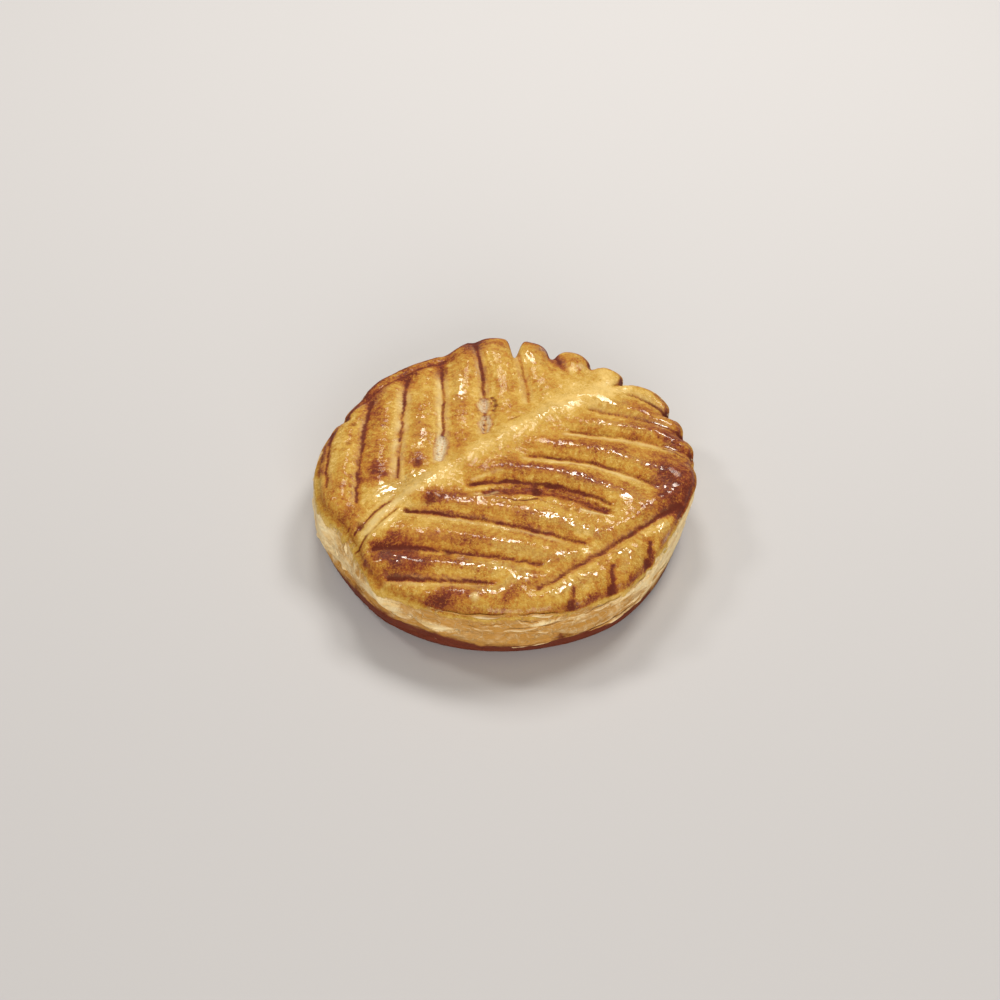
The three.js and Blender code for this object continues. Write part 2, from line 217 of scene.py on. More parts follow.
# Patches drawn browner (or, below zero, paler), mostly where the oven browned more: x, y, half length, half
# width, turn in degrees, how much
PATCHES = np.array([
    # along the far rim, and the strips' ends behind it
    [-48, 42, 9, 3.5, 42, 0.4],
    [-33, 52, 10, 3.5, 28, 0.45],
    [-20, 58, 6, 3, 20, 0.35],
    [-9, 64, 9, 4, 0, 0.3],
    [11, 65, 6, 3.5, -15, 0.3],
    [18.5, 57, 3, 5.5, 30, 0.35],
    [41, 46, 4.5, 2, 20, 0.35],
    # where the far strokes run out
    [-46.5, 34, 3, 6, -10, 0.5],
    [-35, 43.5, 3.2, 5, 0, 0.5],
    [-23, 50.5, 3.2, 5.5, 0, 0.5],
    [-11.8, 58, 3.2, 8, 10, 0.45],
    [18.5, 55, 2.6, 5, 20, 0.4],
    # the far strips, left to right
    [-44.5, -2, 3.6, 6.5, 0, 0.75],
    [-44.5, 12, 3.6, 8, 0, 0.22],
    [-45, 27, 3.6, 8, 0, 0.2],
    [-31, 2.5, 3.2, 4.5, 0, 0.38],
    [-30.5, 18, 3.5, 10, 0, 0.16],
    [-16.5, 8, 3.5, 7, 0, 0.28],
    [-16, 28, 3.5, 14, 0, 0.16],
    [2, 30, 3.5, 10, 0, 0.12],
    [-56, -6, 4.5, 5, 0, 0.12],
    [-53, -18, 4.5, 9, 20, 0.3],
    # the near strips, back to front
    [50, 31, 9, 3, -30, 0.3],
    [55, 19, 12, 4.5, -24, 0.32],
    [60, 14, 7, 5, -40, 0.3],
    [42, 8.5, 20, 3, -22, 0.2],
    [20, 10, 16, 3.5, -8, 0.16],
    [30, -8, 20, 3, -22, 0.24],
    [6, -1.5, 15, 3.5, -4, 0.3],
    [59.5, -8.5, 6.5, 10.5, 14, 1.25],
    [54, -17, 7, 3, 38, 0.4],
    [-20, -14.5, 12, 3, 0, 0.34],
    [-26, -16, 4.5, 2.5, 0, 0.25],
    [4, -26, 16, 2.5, -20, 0.18],
    [8, -32, 12, 2.5, -16, 0.22],
    [2, -13, 8, 2.4, -6, 0.45],
    [26, -19.5, 5, 2.2, -24, 0.4],
    [-24, -22, 14, 2.5, -4, 0.18],
    [-22, -35, 14, 2.2, -6, 0.3],
    [-38, -38.5, 7.5, 6, -20, 1.15],
    [-30.5, -45, 5, 4.5, 0, 0.85],
    [-18, -44, 8, 3, -4, 0.2],
    [-17, -56.8, 9.5, 3.2, 4, 0.8],
    [1.5, -58, 4.5, 2, 45, 0.45],
    [10, -49, 2, 4, 0, 0.35],
    # the band outside the near margin, darker towards its lower edge: painted shade where the shoulder rolls
    # down
    [28, -57.5, 9, 2.6, 22, 0.35],
    [42, -48, 6, 2.6, 40, 0.35],
    [53, -33, 6, 2.4, 62, 0.35],
    # where it stayed light
    [38, 44, 10, 6, 40, -0.22],
    [24, 40, 12, 4, 42, -0.2],
    [51, 38, 8, 4, -45, -0.25],
    [-42, -12, 9, 4, 40, -0.22],
    [-45, -32, 3, 7, -40, -0.25],
])
# Small pits and blebs: x, y, radius, how dark (or, below zero, how pale), depth
SPOTS = np.array([
    [-54.8, 12.2, 1.5, 0.55, 0.3],
    [-56.5, 9.5, 1.1, 0.45, 0.2],
    [-53, 22.5, 1.7, 0.55, 0.2],
    [-30.3, 0.5, 2, 0.6, 0.4],
    [-33.5, -20.6, 1.2, 0.8, 0.4],
    [-25.8, -17.2, 2, 0.7, 0.5],
    [-3.7, 30.8, 1.2, 0.9, 0.4],
    [-7.7, 22.6, 0.6, 0.9, 0.2],
    [-7.9, 20, 0.55, 0.9, 0.2],
    [-7, 25.2, 0.5, 0.7, 0.2],
    [-23.3, 7, 0.65, 0.6, 0.2],
    [-24, 10.4, 0.45, 0.4, 0.1],
    [-21.6, 12.2, 0.4, 0.3, 0.1],
    [10.5, -12, 1.6, 1, 1],
    [20.5, -21.5, 1.2, 0.5, 0.3],
    [23.5, -21.8, 1.2, 0.5, 0.3],
    [-19.5, -40.5, 1.7, 0.6, 0.3],
    [-48.6, -26, 1.6, 0.8, 0.4],
    [-10.2, -58.7, 1.1, -1, -0.5],
    [27, 52, 1.3, -0.6, -0.2],
])

# Flakes besides those, all round: how many, what share of a turn lies between one and the next, and the least
# and the spread of their height, half length, width, tilt and curl
STRAYS = 44
STRAY_STEP = 0.618
STRAY_LEAST, STRAY_SPREAD = np.array([[4, 3, 0.5, -8, 0.2], [15, 8, 0.8, 16, 0.5]])

# Relief of the top, in mm: shares of a stroke's depth in its slit and in the valley round it, how far the
# slit fades past its ends, the gain of a crest and the height at which it shines in full, then the heights of
# threads, crackle, cracks and slow swells
SLIT_SHARE, VALLEY_SHARE, END_FADE = 0.20, 0.56, 1.8
CREST_GAIN, FULL_CREST = 1.25, 0.6
THREAD_HEIGHT, CRACKLE_HEIGHT, CRACK_DEPTH, SWELL_HEIGHT = 0.12, 0.09, 0.22, 0.28
FULL_NICK = 0.9  # a nick this deep is drawn fully dark: burnt stroke end and painted shade in the notch
WALL_RADIUS = 62  # turns an angle on the wall into a length, in mm
WALL_CELLS = 96  # cells of the wall's coarser grains, once round
FRONT = (-96, 34)  # the front of the wall, drawn browner: its middle and half width, in degrees
BROWNEST = 0.62  # how much browner than usual the glaze can get
FOOT_ROLL = 0.7  # radius of the foot's rounded edge, in mm
FLAKE_HALF, FLAKE_SUNK = 0.11, 0.25  # half a flake's thickness, and how far it sinks in, in mm
NET_REACH, NET_SIDE = 41.0, 0.8  # size of the net in the middle of the top, in mm, and how square it is
NET_CORNER = -135  # where the net's first corner points, in degrees
FOOT_BROWN, FOOT_TOAST = 0.4, 1.8  # how brown and how toasted the underside is

MID = 0.5  # the middle of a noise
GOLD_LEVEL, AMBER_LEVEL, CHESTNUT_LEVEL = 0.36, 0.61, 0.84  # how far each colour of the glaze has baked
GLAZE_BUMP, LEAF_BUMP, FLAKE_BUMP = 0.0004, 0.0009, 0.0004  # heights of the fine relief, in metres

# Lamps: name, angle from the far side to the right, angle above the floor, size, distance
LAMPS = (
    ("key", 38, 52, 0.27, 0.9),
    ("window", -6, 48, 0.23, 1.0),
    ("side", -62, 44, 0.16, 1.0),
    ("fill", 174, 22, 0.7, 1.2),
)
AIM_HEIGHT = 0.013  # of the point that camera and lamps look at, in metres
FLOOR_REACH, FLOOR_ROUGHNESS = 3.0, 0.8
SENSOR_WIDTH, CAMERA_SHIFT = 36.0, (-0.006, -0.0055)


def number(name, description, default, **kind):
    return bpy.props.FloatProperty(name=name, description=description, default=default, **kind)


def metres(name, description, default):
    return number(name, description, default, unit="LENGTH")


def power(name, description, default):
    return number(name, description, default, unit="POWER")


def tint(name, description, *default):
    return bpy.props.FloatVectorProperty(
        name=name, description=description, subtype="COLOR", size=3, default=default
    )


class GaletteShape(bpy.types.PropertyGroup):
    """Sizes of the cake."""

    rim_radius: metres("Rim radius", "Glazed top, out to its edge", 0.0635)
    base_radius: metres("Foot radius", "Foot on the tray", 0.0605)
    edge_height: metres("Edge height", "Where the glaze ends and the layers begin", 0.022)
    edge_tilt: metres("Edge tilt", "How much higher the edge stands at the back", 0.001)
    crown_height: metres("Crown height", "Middle of the top", 0.028)
    crown_fall: metres("Crown fall", "How far the crown sinks towards the rim", 0.002)
    shoulder: metres("Shoulder", "Width of the rounded shoulder", 0.010)
    left_bulge: metres("Left bulge", "How far the wall swells on the left", 0.0025)
    front_bulge: metres("Front bulge", "How far the wall swells elsewhere", 0.0008)
    layers: bpy.props.IntProperty(
        name="Layers", description="Puffed layers that show in the wall", default=6, min=2, max=12
    )
    layer_depth: metres("Layer depth", "How far a layer stands out", 0.0012)
    layer_wander: metres("Layer wander", "How far a crease strays up and down", 0.0011)
    seam_depth: metres("Seam depth", "How much deeper the crease between the two sheets runs", 0.0009)
    midrib_rise: metres("Midrib rise", "Height of the swell along the leaf's midrib", 0.0011)
    midrib_half: metres("Midrib half width", "Half width of that swell", 0.0045)
    valley_half: metres("Valley half width", "Half width of the valley round each stroke", 0.004)
    nick_half: metres("Nick half width", "Half width of a nick in the rim", 0.0019)
    blister_height: metres("Blisters", "Height of the small blisters in the glaze", 0.00016)


class GaletteBake(bpy.types.PropertyGroup):
    """Colours of the crust."""

    straw: tint("Straw", "Palest glaze", 0.77, 0.54, 0.19)
    gold: tint("Gold", "Most of the glaze", 0.555, 0.331, 0.057)
    amber: tint("Amber", "Browned glaze", 0.44, 0.178, 0.024)
    chestnut: tint("Chestnut", "Dark glaze", 0.235, 0.045, 0.016)
    burnt: tint("Burnt", "Bottom of the strokes", 0.125, 0.022, 0.011)
    opened: tint("Opened", "Pale dough beside the strokes", 0.75, 0.585, 0.28)
    cream: tint("Cream", "Palest leaves down the side", 0.93, 0.78, 0.49)
    white: tint("White", "Bare dough in the small hollows", 0.80, 0.77, 0.61)
    wall: tint("Wall", "Layers down the side", 0.83, 0.59, 0.275)
    toast: tint("Toast", "Toasted layers", 0.50, 0.242, 0.046)
    # the foot's dark band is partly painted shade near the floor
    foot: tint("Foot", "Underside and foot edge", 0.160, 0.034, 0.017)


class GaletteStage(bpy.types.PropertyGroup):
    """Floor, camera and lights."""

    floor_colour: tint("Floor", "Colour of the floor", 0.545, 0.546, 0.590)
    distance: metres("Distance", "From the camera to the point it aims at", 0.700)
    elevation: number("Elevation", "Camera above the horizon", math.radians(45), subtype="ANGLE")
    lens: number("Lens", "Focal length in millimetres on a sensor 36 mm wide", 72.7, unit="CAMERA")
    key_power: power("Key light", "Power of the key light in watts", 4.0)
    window_power: power("Window", "Power of the small light from behind in watts", 3.5)
    side_power: power("Side light", "Power of the small light from the left in watts", 2.1)
    fill_power: power("Fill light", "Power of the fill light in watts", 9.6)
    lamp_colour: tint("Lamps", "Colour of the lamps", 1.0, 0.95, 0.84)
    sky_colour: tint("Sky colour", "Colour of the even light from all round", 1.0, 0.92, 0.79)
    sky: number("Sky", "Strength of the even light from all round", 0.27)


# ---------------------------------------------------------------- arithmetic of the surface, in mm

def bell(x):
    """A smooth hump: e to the minus x squared."""
    return np.exp(-x * x)


def hump(x):
    """A hump between a bell and a plateau: e to the minus the cube of the distance from 0."""
    return np.exp(-np.abs(x) ** 3)


def plateau(x):
    """A hump with a flat top: e to the minus x to the fourth."""
    return np.exp(-(x**4))


def ease(x, low, high):
    """A smooth step from 0 at low to 1 at high."""
    t = np.clip((x - low) / (high - low), 0, 1)
    return t * t * (3 - 2 * t)


def grain(u, v, seed, around=0):
    """Value noise from -1 to 1: random heights on a unit lattice, blended between its corners by a smooth
    step. Where around is given, the lattice repeats after that many cells of u."""
    size = 256
    heights = np.random.default_rng(seed).uniform(-1, 1, (size, size))
    i, j = np.floor(u).astype(int), np.floor(v).astype(int)
    fu, fv = ease(u - i, 0, 1), ease(v - j, 0, 1)
    wrap = around or size
    i0, i1, j0, j1 = i % wrap % size, (i + 1) % wrap % size, j % size, (j + 1) % size
    low = heights[i0, j0] * (1 - fu) + heights[i1, j0] * fu
    high = heights[i0, j1] * (1 - fu) + heights[i1, j1] * fu
    return low * (1 - fv) + high * fv


def layered_grain(u, v, seed, octaves=3, around=0):
    """Several grains, each with half the cells and half the height of the one before."""
    return sum(grain(u * 2**k, v * 2**k, seed + k, around * 2**k) * 0.5**k for k in range(octaves))


def grain_round(angle, cells, v, seed, octaves=1):
    """Layered grain with so many cells once round the cake."""
    return layered_grain(angle * cells / (2 * np.pi), v, seed, octaves, cells)


def beside(row, x, y):
    """Place of points beside a stroke that bows as a parabola over its chord: how far off it to the left, how
    far along from 0 to 1, and how far from it in all."""
    ox, oy, ix, iy, bow = row[:5]
    length = math.hypot(ix - ox, iy - oy)
    ax, ay = (ix - ox) / length, (iy - oy) / length
    run = (x - ox) * ax + (y - oy) * ay
    off = (y - oy) * ax - (x - ox) * ay
    along = np.clip(run / length, 0, 1)
    slope = 4 * bow * (1 - 2 * along) / length
    left = (off - 4 * bow * along * (1 - along)) / np.sqrt(1 + slope * slope)
    return left, along, np.hypot(left, run - along * length)


def rotated(u, v, degrees):
    """Coordinates along and across an axis turned by so many degrees."""
    c, s = math.cos(math.radians(degrees)), math.sin(math.radians(degrees))
    return u * c + v * s, v * c - u * s


def turn(angle, degrees):
    """Signed angle from a direction in degrees to an angle."""
    a = angle - math.radians(degrees)
    return np.arctan2(np.sin(a), np.cos(a))


def lobe(angle, middle, half):
    """A bell in angle, with its middle and half width in degrees."""
    return bell(turn(angle, middle) / math.radians(half))


def leftness(angle):
    """0 on the right half, and a smooth step up to 1 at the far left."""
    return ease(-np.cos(angle), 0, 1)


def swells(table, angle, column):
    """Sum over a table's rows of a hump in angle, as wide as the row says, times the value in this column."""
    return sum(row[column] * hump(turn(angle, row[0]) / math.radians(row[1])) for row in table)


class Plan:
    """The cake's outline and heights as functions of place, worked out from the shape's properties in mm."""

    def __init__(self, shape):
        for name in shape.bl_rna.properties.keys():
            value = getattr(shape, name)
            if isinstance(value, float):
                setattr(self, name, value / MM)
        self.layers = shape.layers

    def nicks(self, angle):
        """Sum over the strokes of a bell as wide as a nick, at each stroke's outer end."""
        ends = [(nick, math.degrees(math.atan2(y, x))) for x, y, *_, nick in SCORES[:, :9] if nick > 0]
        return sum(nick * bell(self.rim_radius * turn(angle, at) / self.nick_half) for nick, at in ends)

    def open_rim(self, angle):
        """Radius of the rim without its nicks, with a little unevenness of the oven's."""
        return self.rim_radius + swells(TABS, angle, 2) + 0.30 * grain_round(angle, 48, 0 * angle, 11, 2)

    def rim(self, angle):
        """Radius of the rim."""
        return self.open_rim(angle) - self.nicks(angle)

    def edge(self, angle):
        """Height at which the glaze ends."""
        return self.edge_height + self.edge_tilt * np.sin(angle) + swells(TABS, angle, 3)

    def skin(self, angle, share):
        """Radius of the wall without its layers, at a share of the way up: straight from foot to rim, plus half
        a sine."""
        foot = self.base_radius + swells(FOOT_SWELLS, angle, 2)
        bulge = self.front_bulge + (self.left_bulge - self.front_bulge) * leftness(angle)
        return foot + (self.open_rim(angle) - foot) * share + bulge * np.sin(np.pi * share)

    def marks(self, x, y):
        """What the knife and the oven did at each place in plan, with some painted shade: the relief in mm,
        then the shares from 0 to 1 of dark stroke bottom, of opened pale dough and of bare white dough, how
        much browner than usual it is (in places painted shade), and the share of thick wet glaze."""
        rib = bell(beside(MIDRIB, x, y)[2] / self.midrib_half)
        z = self.midrib_rise * rib
        dark, pale, bare = 0 * x, 0 * x, 0 * x
        gloss, brown = 0.08 + 0.08 * rib + 0.08 * ease(x - y, -10, 50), -0.20 * rib
        wobble = 0.35 * grain(x / 3.1, y / 3.1, 21) + 0.14 * grain(x / 1.1, y / 1.1, 22)
        closest = 0 * x + FAR
        for k, row in enumerate(SCORES):
            ox, oy, ix, iy, _, deep, half_out, half_in = row[:8]
            dark_out, dark_in, pale_left, pale_right, away, rise = row[9:]
            length = math.hypot(ix - ox, iy - oy)
            left, along, off = beside(row, x, y)
            inside = ease(off - np.abs(left), END_FADE, 0)
            beyond = np.sqrt(np.maximum(off**2 - left**2, 0))
            left, off = left + wobble, np.abs(off + 0.5 * wobble)
            right, run = -left, along * length
            half = half_out + (half_in - half_out) * along**2
            z -= deep * (SLIT_SHARE * bell(off / (0.9 * half)) + VALLEY_SHARE * bell(off / self.valley_half))
            # the crest that the strip on the right raises, which shines and browns, and the dip on the left
            crest = max(away, 1.0)
            high = rise * inside * np.sin(np.pi * np.clip(0.08 + 0.84 * along, 0, 1))
            up = ease(right, 0.2, crest) * bell(np.maximum(right - crest, 0) / (0.75 * crest))
            z += CREST_GAIN * high * (up - 0.35 * ease(left, 0.2, 1.8) * bell(left / 4.0))
            raised = np.minimum(high / FULL_CREST, 1)
            gloss = np.maximum(gloss, 0.45 * raised * bell((right - crest + 0.6) / 1.9))
            brown += 0.16 * raised * bell((right - crest - 0.8) / 2.4)
            # fine threads along the banks, and crackle across the strips
            thread = grain(left / 0.85, run / 9.0, 40 + k) + 0.6 * grain(left / 0.45, run / 6.0, 70 + k)
            crackle = grain((left + 0.9 * wobble) / 2.2, (run + 2.2 * wobble) / 0.85, 60 + k)
            crackle *= inside * bell(left / 6.5) * ease(np.abs(left), 0.8, 1.8)
            z += THREAD_HEIGHT * thread * inside * bell((np.abs(left) - 2.2) / 1.8) + CRACKLE_HEIGHT * crackle
            brown += 0.17 * crackle + 0.11 * thread * inside * bell((np.abs(left) - 2.6) / 2.4)
            # the burnt bottom, with ragged edges; on the near strips' strokes drawn darker and on their far
            # bank, as painted shade under the bank's overhang
            broken = 0.92 + 0.30 * grain(run / 3.0, 0 * run, 100 + k)
            ragged = 1 + 0.30 * grain(run / 1.6, left / 2.0, 115 + k)
            bank = 0.45 * max(ox - ix, 0) / length
            burn = (dark_out + (dark_in - dark_out) * along) * (1 + 0.2 * bank)
            line = plateau(np.hypot(left + bank, beyond) / (0.44 * half * ragged + 0.12 + 0.1 * bank))
            dark = np.maximum(dark, burn * broken * line)
            # a brown halo round the stroke: browning, and painted shade in its valley, moved to the far side of
            # the near strips' strokes
            brown += 0.34 * burn * inside * bell((left + 1.5 * bank) / (1.5 * half))
            gloss *= 1 - 0.9 * inside * bell(left / (1.4 * half))
            # the pale bands where it opened
            uneven = 0.75 + 0.50 * grain(run / 5.0, left / 1.4, 130 + k)
            for strength, beside_it in ((pale_left, left), (pale_right, right)):
                reach = 2.0 + 2.0 * strength
                band = ease(beside_it, 0.3, 1.0) * ease(beside_it, reach, 0.35 * reach)
                pale = np.maximum(pale, strength * inside * uneven * band * ease(along, 0.02, 0.24))
            closest = np.minimum(closest, np.abs(left) + 9 * (1 - inside))
        brown += 0.10 * ease(closest, 2.0, 5.5) * (1 - rib)
        for k, (*chord, deep, half, bared, ringed) in enumerate(HOLLOWS):
            _, along, off = beside(chord, x, y)
            off = off + 0.8 * wobble + 0.3 * grain(x / 1.4, y / 1.4, 165)
            off = off / (half * (0.65 + 0.35 * np.sin(np.pi * along)))
            floor = hump(off)
            z -= (deep + 0.14 * grain(x / 1.9, y / 1.2, 160 + k)) * floor
            z += 0.25 * bared * bell((off - 0.95) / 0.25)
            bare = np.maximum(bare, bared * floor * (1 - ringed * hump(off / 0.55)))
            brown += 0.30 * bared * bell((off - 1.35) / 0.3) + 0.62 * (1 - bared) * floor
            dark *= 1 - bared * floor
            gloss, pale = gloss * (1 - floor), pale * (1 - floor)
        for k, (*chord, half, tone) in enumerate(CRACKS):
            _, along, off = beside(chord, x, y)
            line = hump((off + 0.5 * wobble) / half) * (0.85 + 0.3 * grain(along * 9, 0 * along, 210 + k))
            dark = np.maximum(dark * (1 - max(-tone, 0) * line), tone * line)
            pale = np.maximum(pale * (1 - max(tone, 0) * line), -tone * line)
            z -= CRACK_DEPTH * tone * line
        for px, py, radius, tone, deep in SPOTS:
            off = np.hypot(x - px, y - py) * (1 + 0.8 * wobble) / radius
            z -= deep * bell(off)
            dark = np.maximum(dark, max(tone, 0) * hump(off))
            pale = np.maximum(pale * (1 - max(tone, 0) * hump(off)), max(-tone, 0) * hump(off))
        ragged = 0.24 * layered_grain(x / 4.0, y / 4.0, 190) + 0.10 * grain(x / 0.9, y / 0.9, 191)
        for px, py, long, wide, at, much in PATCHES:
            u, v = rotated(x - px, y - py, at)
            brown += much * bell(np.hypot(u / long, v / wide) + ragged)
        for *chord, half, wet in SHEENS:
            gloss = np.maximum(gloss, wet * hump((beside(chord, x, y)[2] + wobble) / half))
        brown = BROWNEST * np.tanh(brown / BROWNEST)
        return z, *(np.clip(share, 0, 1) for share in (dark, pale, bare)), brown, np.clip(gloss, 0, 1)

    def top(self, x, y):
        """Height of the top without blisters: a low crown, falling with the square of the radius, that rolls
        over a quarter of an ellipse to the edge, plus the knife's marks, whose shares come back with it."""
        angle, radius = np.arctan2(y, x), np.hypot(x, y)
        off_rim = self.rim(angle) - radius
        inset = np.clip(off_rim / self.shoulder, 0, 1)
        edge = self.edge(angle)
        sprung = swells(TABS, angle, 3) * ease(radius, 35, 60)
        crown = self.crown_height - self.crown_fall * (radius / self.rim_radius) ** 2 + sprung
        z, dark, pale, bare, brown, gloss = self.marks(x, y)
        at_edge = ease(off_rim, 2.6, 0.3)
        # painted shade: the nicks drawn dark next to the rim, with the burnt ends of the strokes
        dark = np.maximum(dark, 0.95 * at_edge * np.clip(self.nicks(angle) / FULL_NICK, 0, 1))
        brown += 0.26 * at_edge * ease(angle, 0.2, 0.6)
        swell = SWELL_HEIGHT * layered_grain(x / 9.0, y / 9.0, 300)
        z = edge + (crown - edge) * np.sqrt(1 - (1 - inset) ** 2) + z + swell
        return z, dark, pale, bare, brown, gloss

    def blisters(self, x, y, gloss):
        """Small bubbles in the glaze: two fine grains, with the peaks kept and the hollows flattened, higher
        where the glaze lies thick."""
        coarse = np.maximum(grain(x / 1.25, y / 1.25, 320), -0.2)
        fine = np.maximum(grain(x / 0.75, y / 0.75, 321), -0.2)
        patchy = 0.72 + 0.5 * grain(x / 7.0, y / 7.0, 322) + 0.5 * gloss
        return self.blister_height * (coarse + 0.7 * fine) * patchy

    def wall(self, angle, level, top):
        """Wall point at an angle and a level, 0 at the edge and a whole number at each crease between puffed
        layers: the wall's skin, on which each layer adds a half ellipse whose crease wanders and dies out in
        places. Sheets, folds and crumpled flakes ride on that. Returns x, y, z and the shares of crease, of
        toast and of standing sheet edge at the point. The crease share is painted shade, in the creases and
        under the sheets; the toast share, darkest at the foot, is partly painted shade near the floor."""
        held = np.sin(np.pi * level / self.layers)  # 0 at the edge and at the foot
        arc = angle * WALL_CELLS / (2 * np.pi)
        stray = np.sin(3 * angle + 2.4 * level) + 0.6 * np.sin(7 * angle - 1.7 * level)
        z = top * (1 - level / self.layers) + self.layer_wander * held * stray
        z += 0.6 * held * grain_round(angle, 24, level * 0.9, 400, 2)
        share = z / top
        # the puffed layers, and the seam between the two sheets of pastry
        wandered = level + 0.75 * held * grain_round(angle, 16, level * 0.7, 405, 2)
        wandered = np.clip(wandered, 0, self.layers - 1e-6)
        layer = np.floor(wandered)
        within = wandered - layer
        lasting = ease(grain_round(angle, 12, layer * 1.7 + 0.5, 406, 2), -0.5, 0.4)
        lasting *= 1 - 0.55 * leftness(angle)
        swell = 0.8 + 0.55 * np.sin(1.9 * layer + 0.7 + (2 + layer % 3) * angle)
        dip = 1 - np.sqrt(np.clip(4 * within * (1 - within), 0, 1))
        standing = self.layer_depth * swell * (1 - lasting * dip)
        seam = self.seam_depth * bell((wandered - 3) / 0.4) * (0.3 + 0.7 * lasting)
        # it lies smooth on the right and crumples on the left
        rough = 0.40 + 0.60 * ease(-np.cos(angle - 0.6), -0.6, 0.5)
        folds = layered_grain(arc / 5 + 0.5 * level, level * 0.8 - arc / 16, 440, 2)
        bands = level * 1.6 + 1.5 * grain_round(angle, 32, level * 1.1, 410)
        sheets = np.abs(np.sin(np.pi * (bands + 0.4 * grain_round(angle, 144, level * 2, 411))))
        crumple = grain_round(angle, 48, level * 2, 420, 3)
        calm = 0.25 + 0.75 * ease(grain_round(angle, 8, level * 0.6, 430, 2), -0.4, 0.5)
        fine = held * rough * (0.65 * folds + calm * (0.26 * sheets + 0.45 * crumple))
        # the smooth sheets, each with a lip and a shadowed line under it
        flap, lip, under = 0 * angle, 0 * angle, 0 * angle
        for at, height, wide, tall, tilt, out in FLAPS:
            u, v = rotated(turn(angle, at) * WALL_RADIUS, z - height, tilt)
            r = np.hypot(u / wide, v / tall)
            lens = plateau(r)
            flap = np.maximum(flap, lens)
            fine = fine * (1 - 0.75 * lens) + 1.7 * out * lens * ease(v, tall, -tall)
            below = ease(v, 0.3 * tall, -0.5 * tall)
            lip = np.maximum(lip, bell((r - 0.98) / 0.10) * (0.35 + 0.65 * below))
            under = np.maximum(under, bell((r - 1.22) / 0.16) * below)
        rolled = FOOT_ROLL * bell(z / FOOT_ROLL)
        radius = self.skin(angle, share) - self.nicks(angle) * ease(share, 0.65, 1)
        radius += standing * (0.6 + 0.4 * rough) - seam + fine - rolled
        # painted shade: the creases between the layers, and the line under each sheet, drawn dark
        crease = lasting * (bell(within / 0.09) + bell((within - 1.0) / 0.09)) * held
        crease = np.maximum(crease, 0.9 * under) * (1 - 0.8 * plateau(flap))
        ridge = np.maximum(np.maximum(1 - sheets, 0) ** 4 * (0.3 + 0.9 * calm) * (1 - 0.8 * flap), lip)
        # how far up from the foot it is drawn dark: browned, and painted shade near the floor that reaches
        # highest at the front left; and where the front is drawn browner
        front = lobe(angle, *FRONT)
        ground = 2.7 + 2.2 * lobe(angle, -84, 38) + 6.4 * lobe(angle, -130, 25)
        ground += 0.9 * grain_round(angle, 32, 0 * angle, 460, 3) + 0.6 * grain_round(angle, 192, z, 470)
        toast = 1.15 * front * (1 - 0.6 * flap) + 0.34 * layered_grain(arc / 7, level * 0.9, 450, 3, 14)
        toast += 0.30 * ease(level, 1.2, 0.3) + 0.75 * ease(z, ground + 5.0, ground + 0.6)
        # dark at the foot: browned underside, and painted shade near the floor
        toast = np.minimum(toast, 0.8) + 1.4 * ease(z, ground + 2.8, ground - 2.2)
        ridge *= ease(z, ground - 0.5, ground + 1.5) * (1 - 0.55 * front)
        shares = np.clip(crease, 0, 1), np.clip(toast, 0, 2), np.clip(ridge, 0, 1)
        return radius * np.cos(angle), radius * np.sin(angle), z, *shares


# ---------------------------------------------------------------- meshes

def quads(rows, columns, closed=False):
    """Corner numbers of the cells of a grid of points stored row by row, anticlockwise. Closed joins the last
    column to the first."""
    wide = columns if closed else columns - 1
    i, j = np.meshgrid(np.arange(rows - 1), np.arange(wide), indexing="ij")
    near, far, k = i * columns, (i + 1) * columns, (j + 1) % columns
    return np.stack([near + j, far + j, far + k, near + k], -1).reshape(-1, 4)


def make_piece(name, points, faces, shares, material):
    """A smooth mesh object from points in mm about the drawing's middle and faces of three or more corners,
    with a float attribute for each share."""
    mesh = bpy.data.meshes.new(name)
    corners = np.concatenate([f.ravel() for f in faces]).astype(np.int32)
    counts = np.concatenate([np.full(len(f), f.shape[1]) for f in faces]).astype(np.int32)
    mesh.vertices.add(len(points))
    mesh.vertices.foreach_set("co", ((points + [*FOOT_CENTRE, 0]) * MM).astype(np.float32).ravel())
    mesh.loops.add(len(corners))
    mesh.loops.foreach_set("vertex_index", corners)
    mesh.polygons.add(len(counts))
    mesh.polygons.foreach_set("loop_start", np.concatenate([[0], np.cumsum(counts)[:-1]]).astype(np.int32))
    mesh.polygons.foreach_set("loop_total", counts)
    mesh.polygons.foreach_set("use_smooth", np.ones(len(counts), bool))
    for key, values in shares.items():
        mesh.attributes.new(key, "FLOAT", "POINT").data.foreach_set("value", values.astype(np.float32))
    mesh.update(calc_edges=True)
    if mesh.validate():
        raise RuntimeError(f"{name} has bad faces")
    mesh.materials.append(material)
    piece = bpy.data.objects.new(name, mesh)
    bpy.context.scene.collection.objects.link(piece)
    return piece


